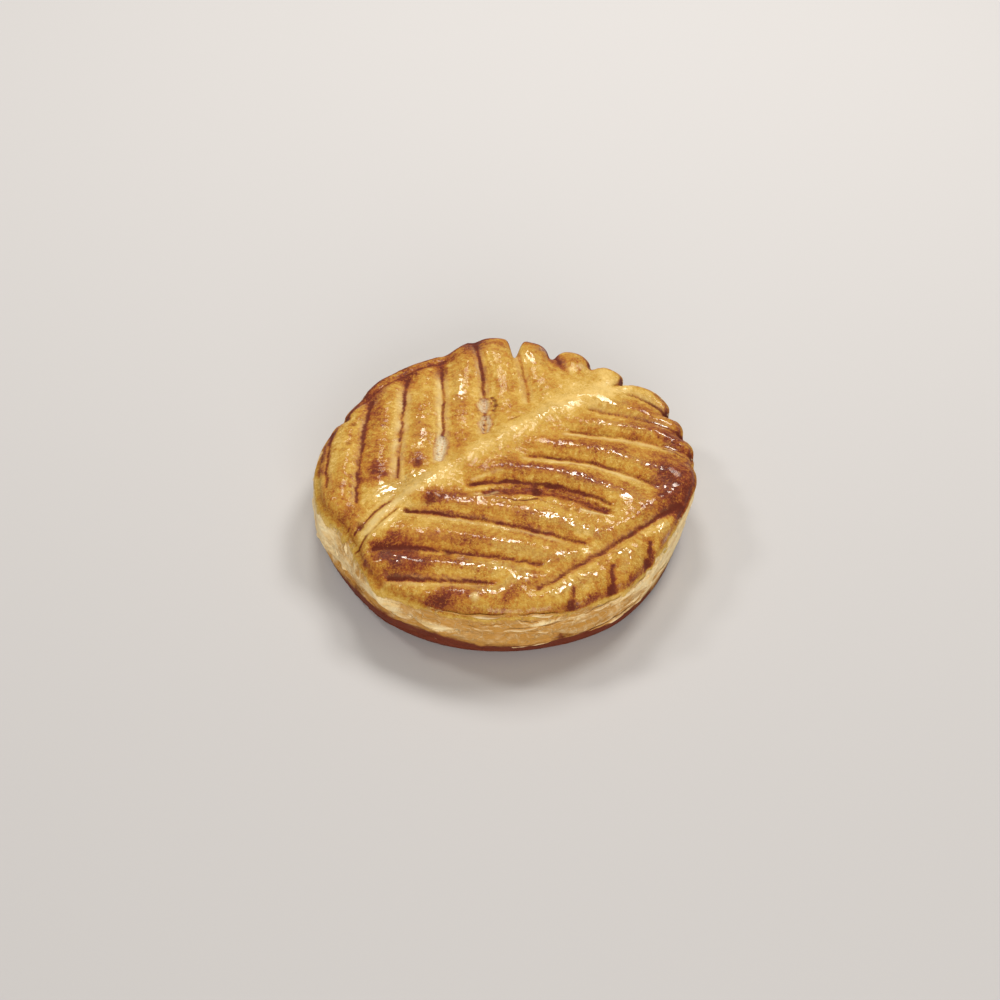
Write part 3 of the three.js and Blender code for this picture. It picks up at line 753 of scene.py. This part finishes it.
def crust_mesh(plan, cells=190, shoulder_rows=40, wall_rows=42):
    """The whole skin: a square net half shaped to a circle in the middle of the top, rows over the shoulder
    that start from its border and end on the rim, rows down the wall, and a fan across the foot."""
    steps = np.linspace(-1, 1, cells + 1)
    a, b = np.meshgrid(steps, steps)
    net_x = NET_REACH * 0.5 * (NET_SIDE * a + a * np.sqrt(1 - b * b / 2))
    net_y = NET_REACH * 0.5 * (NET_SIDE * b + b * np.sqrt(1 - a * a / 2))
    index = np.arange((cells + 1) ** 2).reshape(cells + 1, cells + 1)
    border = np.concatenate([index[0, :-1], index[:-1, -1], index[-1, :0:-1], index[:0:-1, 0]])
    ring = len(border)
    angle = np.radians(NET_CORNER) + np.arange(ring) * 2 * np.pi / ring
    rim = plan.rim(angle)
    share = np.sin(np.pi / 2 * np.arange(1, shoulder_rows + 1) / shoulder_rows)[:, None]
    x, y = (
        np.concatenate([net, (net[border] * (1 - share) + end * share).ravel()])
        for net, end in ((net_x.ravel(), rim * np.cos(angle)), (net_y.ravel(), rim * np.sin(angle)))
    )
    z, dark, pale, bare, brown, gloss = plan.top(x, y)
    rim_z = z[-ring:]
    inset = plan.rim(np.arctan2(y, x)) - np.hypot(x, y)
    z = z + plan.blisters(x, y, gloss) * ease(inset, 0, 1.5)

    level = plan.layers * np.arange(1, wall_rows + 1)[:, None] / wall_rows + 0 * angle
    wall_x, wall_y, wall_z, crease, toast, ridge = plan.wall(0 * level + angle, level, rim_z)
    wall_z[-1] = 0
    wall = np.stack([wall_x, wall_y, wall_z], -1).reshape(-1, 3)
    foot_row = wall[-ring:] * [0.99, 0.99, 0]
    points = np.concatenate([np.stack([x, y, z], -1), wall, foot_row, [[0, 0, 0]]])

    def down(top=0, side=0, foot=0):
        """One share for every point: on the top, down the side and across the foot."""
        return np.concatenate([top + 0 * x, (side + 0 * level).ravel(), np.full(ring + 1, foot)])

    fade = ease(level, 0.35, 0)
    shares = {
        "dark": down(dark, fade * dark[-ring:]),
        "pale": down(pale, fade * pale[-ring:]),
        "bare": down(bare),
        "brown": down(brown, fade * brown[-ring:], FOOT_BROWN),
        "side": down(0, level, plan.layers),
        "gloss": down(gloss),
        "crease": down(0, crease),
        "toast": down(0, toast, FOOT_TOAST),
        "ridge": down(0, ridge),
        "rim": down(ease(inset, 2.0, 0)),
    }
    rings = np.concatenate([border[None], np.arange(index.size, len(points) - 1).reshape(-1, ring)])
    core = quads(cells + 1, cells + 1)[:, ::-1]
    skirt = rings.ravel()[quads(len(rings), ring, closed=True)]
    fan = np.stack([rings[-1], np.full(ring, len(points) - 1), np.roll(rings[-1], -1)], -1)
    return points, [core, skirt, fan], shares


def flake_mesh(plan, long_steps=36, round_steps=10):
    """Loose leaves on the wall. Each is a ribbon that follows the wall along its length, pointed at either
    end, hung from its upper edge, with its lower edge curling outwards as a quarter circle; across, it is a
    closed flat oval. The shares say how toasted it is and how near its free edge."""
    count = len(PEELS) + STRAYS
    spread = np.random.default_rng(7).uniform(0, 1, (count, 6))
    at = np.degrees(2 * np.pi * (np.arange(count) * STRAY_STEP + 0.1 * spread[:, 0]))
    rows = np.column_stack([at, STRAY_LEAST + STRAY_SPREAD * spread[:, 1:]])
    rows[: len(PEELS)] = PEELS
    at, height, half, wide, tilt, curl = (column[:, None, None] for column in rows.T)
    u = np.linspace(-1, 1, long_steps + 1)[None, :, None]
    ring = (np.arange(round_steps) * -2 * np.pi / round_steps)[None, None, :]
    taper = (1 - u**4) * (1 + 0.25 * np.sin(5 * u + at) + 0.15 * np.sin(11 * u + 2 * at))
    across = 0.5 * (1 - np.cos(ring)) * wide * taper  # 0 at the upper edge
    thick = FLAKE_HALF * np.sin(ring) * np.sqrt(np.clip(1 - u**4, 0, 1))
    free = across / np.maximum(wide, 0.1)
    run = u * half + 0 * across
    wavy = 0.30 * np.sin(3.1 * u + at) + 0.22 * np.sin(9 * u + 2 * at)
    z = height + run * np.tan(np.radians(tilt)) + wavy - across
    angle = np.radians(at) + run / WALL_RADIUS
    skin = plan.skin(angle, np.clip(z / plan.edge_height, 0, 1)) + 0.75 * plan.layer_depth
    curled = curl * (1 - np.sqrt(1 - np.clip(free, 0, 1) ** 2)) * (0.8 + 0.4 * np.sin(4 * u + 3 * at))
    radius = skin - FLAKE_SUNK + curled + thick
    points = np.stack([radius * np.cos(angle), radius * np.sin(angle), np.maximum(z, 0.3)], -1)
    shares = {
        "toast": (0.35 * (spread[:, :1, None] - 0.3) + 0.25 * free + 0.8 * lobe(angle, *FRONT)).ravel(),
        "ridge": ease(free, 0.55, 0.95).ravel(),
    }
    starts = (np.arange(count) * (long_steps + 1) * round_steps)[:, None, None]
    body = quads(long_steps + 1, round_steps, closed=True)
    first = np.arange(round_steps)[::-1][None]
    last = (np.arange(round_steps) + long_steps * round_steps)[None]
    faces = [(f[None] + starts).reshape(-1, f.shape[1]) for f in (body, first, last)]
    return points.reshape(-1, 3), faces, shares


# ---------------------------------------------------------------- finishes

class Wire:
    """One output in a shader tree. Arithmetic on it makes math nodes."""

    def __init__(self, tree, socket):
        self.tree, self.socket = tree, socket

    def node(self, kind, inputs, out=0, **settings):
        """An output of a new node in the same tree."""
        return Wire(self.tree, add(self.tree, kind, inputs, **settings).outputs[out])

    def math(self, operation, other=0.0):
        return self.node("ShaderNodeMath", {0: self, 1: other}, operation=operation)

    def __add__(self, other):
        return self.math("ADD", other)

    def __sub__(self, other):
        return self.math("SUBTRACT", other)

    def __mul__(self, other):
        return self.math("MULTIPLY", other)

    __radd__, __rmul__ = __add__, __mul__

    def clamped(self):
        """The same output, which its math node now holds between 0 and 1."""
        self.socket.node.use_clamp = True
        return self

    def remap(self, low, high, to_low=0.0, to_high=1.0):
        """A smooth step, from one value at low to another at high."""
        ends = {"Value": self, "From Min": low, "From Max": high, "To Min": to_low, "To Max": to_high}
        return self.node("ShaderNodeMapRange", ends, interpolation_type="SMOOTHSTEP")

    def lines(self, width):
        """Thin lines where a noise passes through its middle, fading out over a width."""
        return (self - MID).math("ABSOLUTE").remap(width, 0.0)

    def noise(self, scale, detail, roughness=0.5, stretch=(1, 1, 1)):
        """Noise at this place stretched by a mapping, at a scale in cells per metre."""
        placed = self.node("ShaderNodeMapping", {"Vector": self, "Scale": stretch})
        inputs = {"Vector": placed, "Scale": scale, "Detail": detail, "Roughness": roughness}
        return self.node("ShaderNodeTexNoise", inputs, "Fac")

    def attribute(self, name):
        """A share that the piece's points carry."""
        return self.node("ShaderNodeAttribute", {}, "Fac", attribute_name=name)


def add(tree, kind, inputs, **settings):
    """A shader node with its settings, and with each input joined to a wire or set to a value, where three
    numbers stand for an opaque colour."""
    made = tree.nodes.new(kind)
    for key, value in settings.items():
        setattr(made, key, value)
    for key, value in inputs.items():
        socket = made.inputs[key]
        if isinstance(value, Wire):
            tree.links.new(value.socket, socket)
        else:
            socket.default_value = (*value, 1) if socket.type == "RGBA" else value
    return made


def blend(share, a, b):
    """Colour a where the share is 0, and b where it is 1."""
    return share.node("ShaderNodeMix", {0: share, 6: a, 7: b}, 2, data_type="RGBA")


def new_material(name):
    """A material, and its tree without nodes."""
    material = bpy.data.materials.new(name)
    material.use_nodes = True
    material.node_tree.nodes.clear()
    return material, material.node_tree


def place_in(tree):
    """A wire that carries the place of each point in the piece's own coordinates."""
    return Wire(tree, add(tree, "ShaderNodeTexCoord", {}).outputs["Object"])


def close_tree(tree, inputs):
    """End a material's tree in one Principled shader."""
    shader = Wire(tree, add(tree, "ShaderNodeBsdfPrincipled", inputs).outputs[0])
    add(tree, "ShaderNodeOutputMaterial", {"Surface": shader})


def sheeted_dough(bake):
    """Node group for baked, unglazed leaves of dough, on the wall and on the loose flakes: cream and wall
    colour in fine flat streaks, toasted by how much Toast says and dark where it runs high at the foot, which
    is partly painted shade near the floor; darker in a Crease, which is painted shade, and paler on a Ridge.
    Height is for a bump."""
    tree = bpy.data.node_groups.new("sheeted_dough", "ShaderNodeTree")
    colours = {"Dough": bake.wall, "Pale": bake.cream, "Toasted": bake.toast, "Dark": bake.foot}
    tree.interface.new_socket("Place", in_out="INPUT", socket_type="NodeSocketVector")
    for name in ("Toast", "Crease", "Ridge"):
        tree.interface.new_socket(name, in_out="INPUT", socket_type="NodeSocketFloat")
    for name, colour in colours.items():
        socket = tree.interface.new_socket(name, in_out="INPUT", socket_type="NodeSocketColor")
        socket.default_value = (*colour, 1)
    tree.interface.new_socket("Color", in_out="OUTPUT", socket_type="NodeSocketColor")
    tree.interface.new_socket("Height", in_out="OUTPUT", socket_type="NodeSocketFloat")
    group_input = tree.nodes.new("NodeGroupInput")
    given = {socket.name: Wire(tree, socket) for socket in group_input.outputs}

    where, crease = given["Place"], given["Crease"]
    sheets = where.noise(170, 4, 0.55, (1, 1, 4))
    grit = where.noise(900, 3, 0.6, (1, 1, 1.6))
    patches = where.noise(95, 3, 0.55, (1, 1, 2))
    folds = where.noise(210, 2, 0.55, (1, 1, 1.8)).lines(0.028)
    toast = given["Toast"] + 1.1 * (patches - MID) + 0.7 * (grit - MID)
    colour = blend(sheets.remap(0.34, 0.66, 0.0, 0.85), given["Dough"], given["Pale"])
    for share, over in (
        (toast.remap(0.05, 0.55, 0.0, 0.95), "Toasted"),
        # painted shade: a Crease drawn toasted and dark
        (0.90 * crease, "Toasted"),
        (crease.remap(0.35, 1.0, 0.0, 0.60), "Dark"),
        # dark at the foot, where Toast runs high: browned, and partly painted shade near the floor
        ((toast + 0.9 * (sheets - MID)).remap(0.95, 1.9), "Dark"),
        ((0.72 * given["Ridge"]).clamped(), "Pale"),
        (folds * toast.remap(1.2, 0.6, 0.0, 0.40), "Pale"),
    ):
        colour = blend(share, colour, given[over])
    add(tree, "NodeGroupOutput", {"Color": colour, "Height": 0.6 * sheets + 0.3 * grit + 0.35 * folds})
    return tree


def leaves_of(where, dough, **shares):
    """The outputs of the node group for unglazed dough, by name."""
    inputs = {"Place": where, **{name.capitalize(): share for name, share in shares.items()}}
    node = add(where.tree, "ShaderNodeGroup", inputs, node_tree=dough)
    return {socket.name: Wire(where.tree, socket) for socket in node.outputs}


def crust_finish(bake, dough):
    """Egg-washed pastry: gold to chestnut by how far it baked, cream where it opened, burnt in the strokes,
    with painted shade beside them, in the nicks and on the near shoulder, wet only where the glaze lies thick,
    matte and sheeted down the side with painted shade in its creases, brown at the foot with painted shade near
    the floor."""
    material, tree = new_material("baked_crust")
    where = place_in(tree)
    dark, pale, bare, brown, side, rim, gloss = (
        where.attribute(name) for name in ("dark", "pale", "bare", "brown", "side", "rim", "gloss")
    )
    broad, mottle = where.noise(120, 3), where.noise(520, 4, 0.65)
    speck, bubbles = where.noise(1400, 3, 0.65), where.noise(1000, 2)
    veins = where.noise(330, 3, 0.55).lines(0.022)
    wrinkles = where.noise(620, 2).lines(0.035) * broad.remap(0.40, 0.60)

    level = GOLD_LEVEL + brown + 0.26 * dark
    level = level + 0.60 * (broad - MID) + 0.70 * (mottle - MID) + 0.62 * (speck - MID)
    level = (level - 0.20 * veins - 0.24 * wrinkles + 0.14 * rim).clamped()
    ramp = add(tree, "ShaderNodeValToRGB", {"Fac": level})
    middle = [(GOLD_LEVEL, bake.gold), (AMBER_LEVEL, bake.amber), (CHESTNUT_LEVEL, bake.chestnut)]
    for position, _ in middle:
        ramp.color_ramp.elements.new(position)
    stops = [(0.0, bake.straw), *middle, (1.0, bake.burnt)]
    for element, (position, colour) in zip(ramp.color_ramp.elements, stops):
        element.position, element.color = position, (*colour, 1)

    glaze = Wire(tree, ramp.outputs["Color"])
    glaze = blend((pale * mottle.remap(0.32, 0.60, 0.45, 1.0)).clamped(), glaze, bake.opened)
    glaze = blend(bare, glaze, blend(speck.remap(0.49, 0.64, 0.0, 0.85), bake.white, bake.toast))
    burn = (dark.remap(0.14, 1.0) * speck.remap(0.30, 0.60, 0.60, 1.0)).clamped()
    glaze = blend(burn, glaze, bake.burnt)

    leaves = leaves_of(where, dough, **{name: where.attribute(name) for name in ("toast", "crease", "ridge")})
    ragged = side + 1.9 * (mottle - MID) + 3.6 * (broad - 0.56)
    naked = ragged.remap(0.10, 0.45) * side.remap(0.0, 0.12)
    wet = (gloss - naked.math("MAXIMUM", bare.math("MAXIMUM", burn))).clamped()
    wet = (wet * where.noise(900, 3, 0.6).remap(0.40, 0.55, 0.55, 1.15)).clamped()
    fine = 0.6 * bubbles + 0.4 * speck + 0.25 * veins + 0.35 * wrinkles + 1.1 * (bubbles * wet)
    bump = where.node("ShaderNodeBump", {"Height": fine, "Strength": 0.7, "Distance": GLAZE_BUMP})
    flaky = {"Height": leaves["Height"] * naked, "Strength": 0.6, "Distance": LEAF_BUMP, "Normal": bump}
    close_tree(
        tree,
        {
            "Base Color": blend(naked, glaze, leaves["Color"]),
            "Roughness": wet.remap(0, 1, 0.60, 0.38),
            "Specular IOR Level": 0.12,
            "Coat Weight": wet,
            "Coat Roughness": 0.09,
            "Coat IOR": 1.80,
            "Normal": where.node("ShaderNodeBump", flaky),
        },
    )
    return material


def flake_finish(dough):
    """Thin, matte, dry leaves of dough, toasted towards their free edge."""
    material, tree = new_material("loose_flake")
    where = place_in(tree)
    leaves = leaves_of(where, dough, **{name: where.attribute(name) for name in ("toast", "ridge")})
    bump = {"Height": leaves["Height"], "Strength": 0.4, "Distance": FLAKE_BUMP}
    close_tree(
        tree,
        {
            "Base Color": leaves["Color"],
            "Roughness": 0.7,
            "Specular IOR Level": 0.25,
            "Normal": where.node("ShaderNodeBump", bump),
        },
    )
    return material


def shared_dough(context):
    """The node group for unglazed dough, made once."""
    return bpy.data.node_groups.get("sheeted_dough") or sheeted_dough(context.scene.galette_bake)


# ---------------------------------------------------------------- operators

class GALETTE_OT_crust(bpy.types.Operator):
    """Make the glazed, leaf-scored crust that stands for the cake's solid"""

    bl_idname = "galette.crust"
    bl_label = "Crust"

    def execute(self, context):
        finish = crust_finish(context.scene.galette_bake, shared_dough(context))
        crust = make_piece("crust", *crust_mesh(Plan(context.scene.galette_shape)), finish)
        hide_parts("galette")
        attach(crust, "root")
        return {"FINISHED"}


class GALETTE_OT_flakes(bpy.types.Operator):
    """Make the loose leaves of dough that curl off the side"""

    bl_idname = "galette.flakes"
    bl_label = "Flakes"

    def execute(self, context):
        finish = flake_finish(shared_dough(context))
        flakes = make_piece("flakes", *flake_mesh(Plan(context.scene.galette_shape)), finish)
        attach(flakes, "root")
        return {"FINISHED"}


class GALETTE_OT_stage(bpy.types.Operator):
    """Make the floor, the lights and the camera"""

    bl_idname = "galette.stage"
    bl_label = "Stage"

    def execute(self, context):
        stage, scene = context.scene.galette_stage, context.scene

        def place(name, data, toward, away):
            """Link an object that looks at the cake from a direction and a distance."""
            made = bpy.data.objects.new(name, data)
            made.location = aim + toward * away
            made.rotation_euler = toward.to_track_quat("Z", "Y").to_euler()
            scene.collection.objects.link(made)
            return made

        floor_mesh = bpy.data.meshes.new("floor")
        corners = [(x * FLOOR_REACH, y * FLOOR_REACH, 0) for x, y in ((-1, -1), (1, -1), (1, 1), (-1, 1))]
        floor_mesh.from_pydata(corners, [], [(0, 1, 2, 3)])
        floor = bpy.data.objects.new("floor", floor_mesh)
        scene.collection.objects.link(floor)
        paint, tree = new_material("floor_paint")
        close_tree(tree, {"Base Color": stage.floor_colour, "Roughness": FLOOR_ROUGHNESS})
        floor_mesh.materials.append(paint)

        world = bpy.data.worlds.new("soft_sky")
        world.use_nodes = True
        background = world.node_tree.nodes["Background"]
        background.inputs["Color"].default_value = (*stage.sky_colour, 1)
        background.inputs["Strength"].default_value = stage.sky
        scene.world = world

        aim = Vector((FOOT_CENTRE[0] * MM, FOOT_CENTRE[1] * MM, AIM_HEIGHT))
        for name, azimuth, elevation, size, away in LAMPS:
            light = bpy.data.lights.new(name, "AREA")
            light.size, light.energy, light.color = size, getattr(stage, name + "_power"), stage.lamp_colour
            a, e = math.radians(azimuth), math.radians(elevation)
            toward = Vector((math.sin(a) * math.cos(e), math.cos(a) * math.cos(e), math.sin(e)))
            place(name, light, toward, away)

        camera = bpy.data.cameras.new("camera")
        camera.sensor_width, camera.lens = SENSOR_WIDTH, stage.lens
        camera.shift_x, camera.shift_y = CAMERA_SHIFT
        back = Vector((0, -math.cos(stage.elevation), math.sin(stage.elevation)))
        scene.camera = place("camera", camera, back, stage.distance)
        scene.view_settings.view_transform = "Standard"
        return {"FINISHED"}


class GALETTE_PT_panel(bpy.types.Panel):
    """Lists the cake's pieces and their sizes"""

    bl_idname = "GALETTE_PT_panel"
    bl_label = "Galette des rois"
    bl_space_type = "VIEW_3D"
    bl_region_type = "UI"
    bl_category = "Galette"

    def draw(self, context):
        for operator in OPERATORS:
            self.layout.operator(operator.bl_idname)
        for key in GROUPS:
            box, group = self.layout.box(), getattr(context.scene, key)
            for name in group.bl_rna.properties.keys():
                if name not in {"rna_type", "name"}:
                    box.prop(group, name)


OPERATORS = (GALETTE_OT_crust, GALETTE_OT_flakes, GALETTE_OT_stage)
GROUPS = {"galette_shape": GaletteShape, "galette_bake": GaletteBake, "galette_stage": GaletteStage}
CLASSES = (*GROUPS.values(), *OPERATORS, GALETTE_PT_panel)


def register():
    for each in CLASSES:
        bpy.utils.register_class(each)
    for key, group in GROUPS.items():
        setattr(bpy.types.Scene, key, bpy.props.PointerProperty(type=group))


def unregister():
    for key in GROUPS:
        delattr(bpy.types.Scene, key)
    for each in reversed(CLASSES):
        bpy.utils.unregister_class(each)


def main():
    """Register the classes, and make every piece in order."""
    register()
    bpy.ops.galette.crust()
    bpy.ops.galette.flakes()
    bpy.ops.galette.stage()


if __name__ == "__main__":
    main()
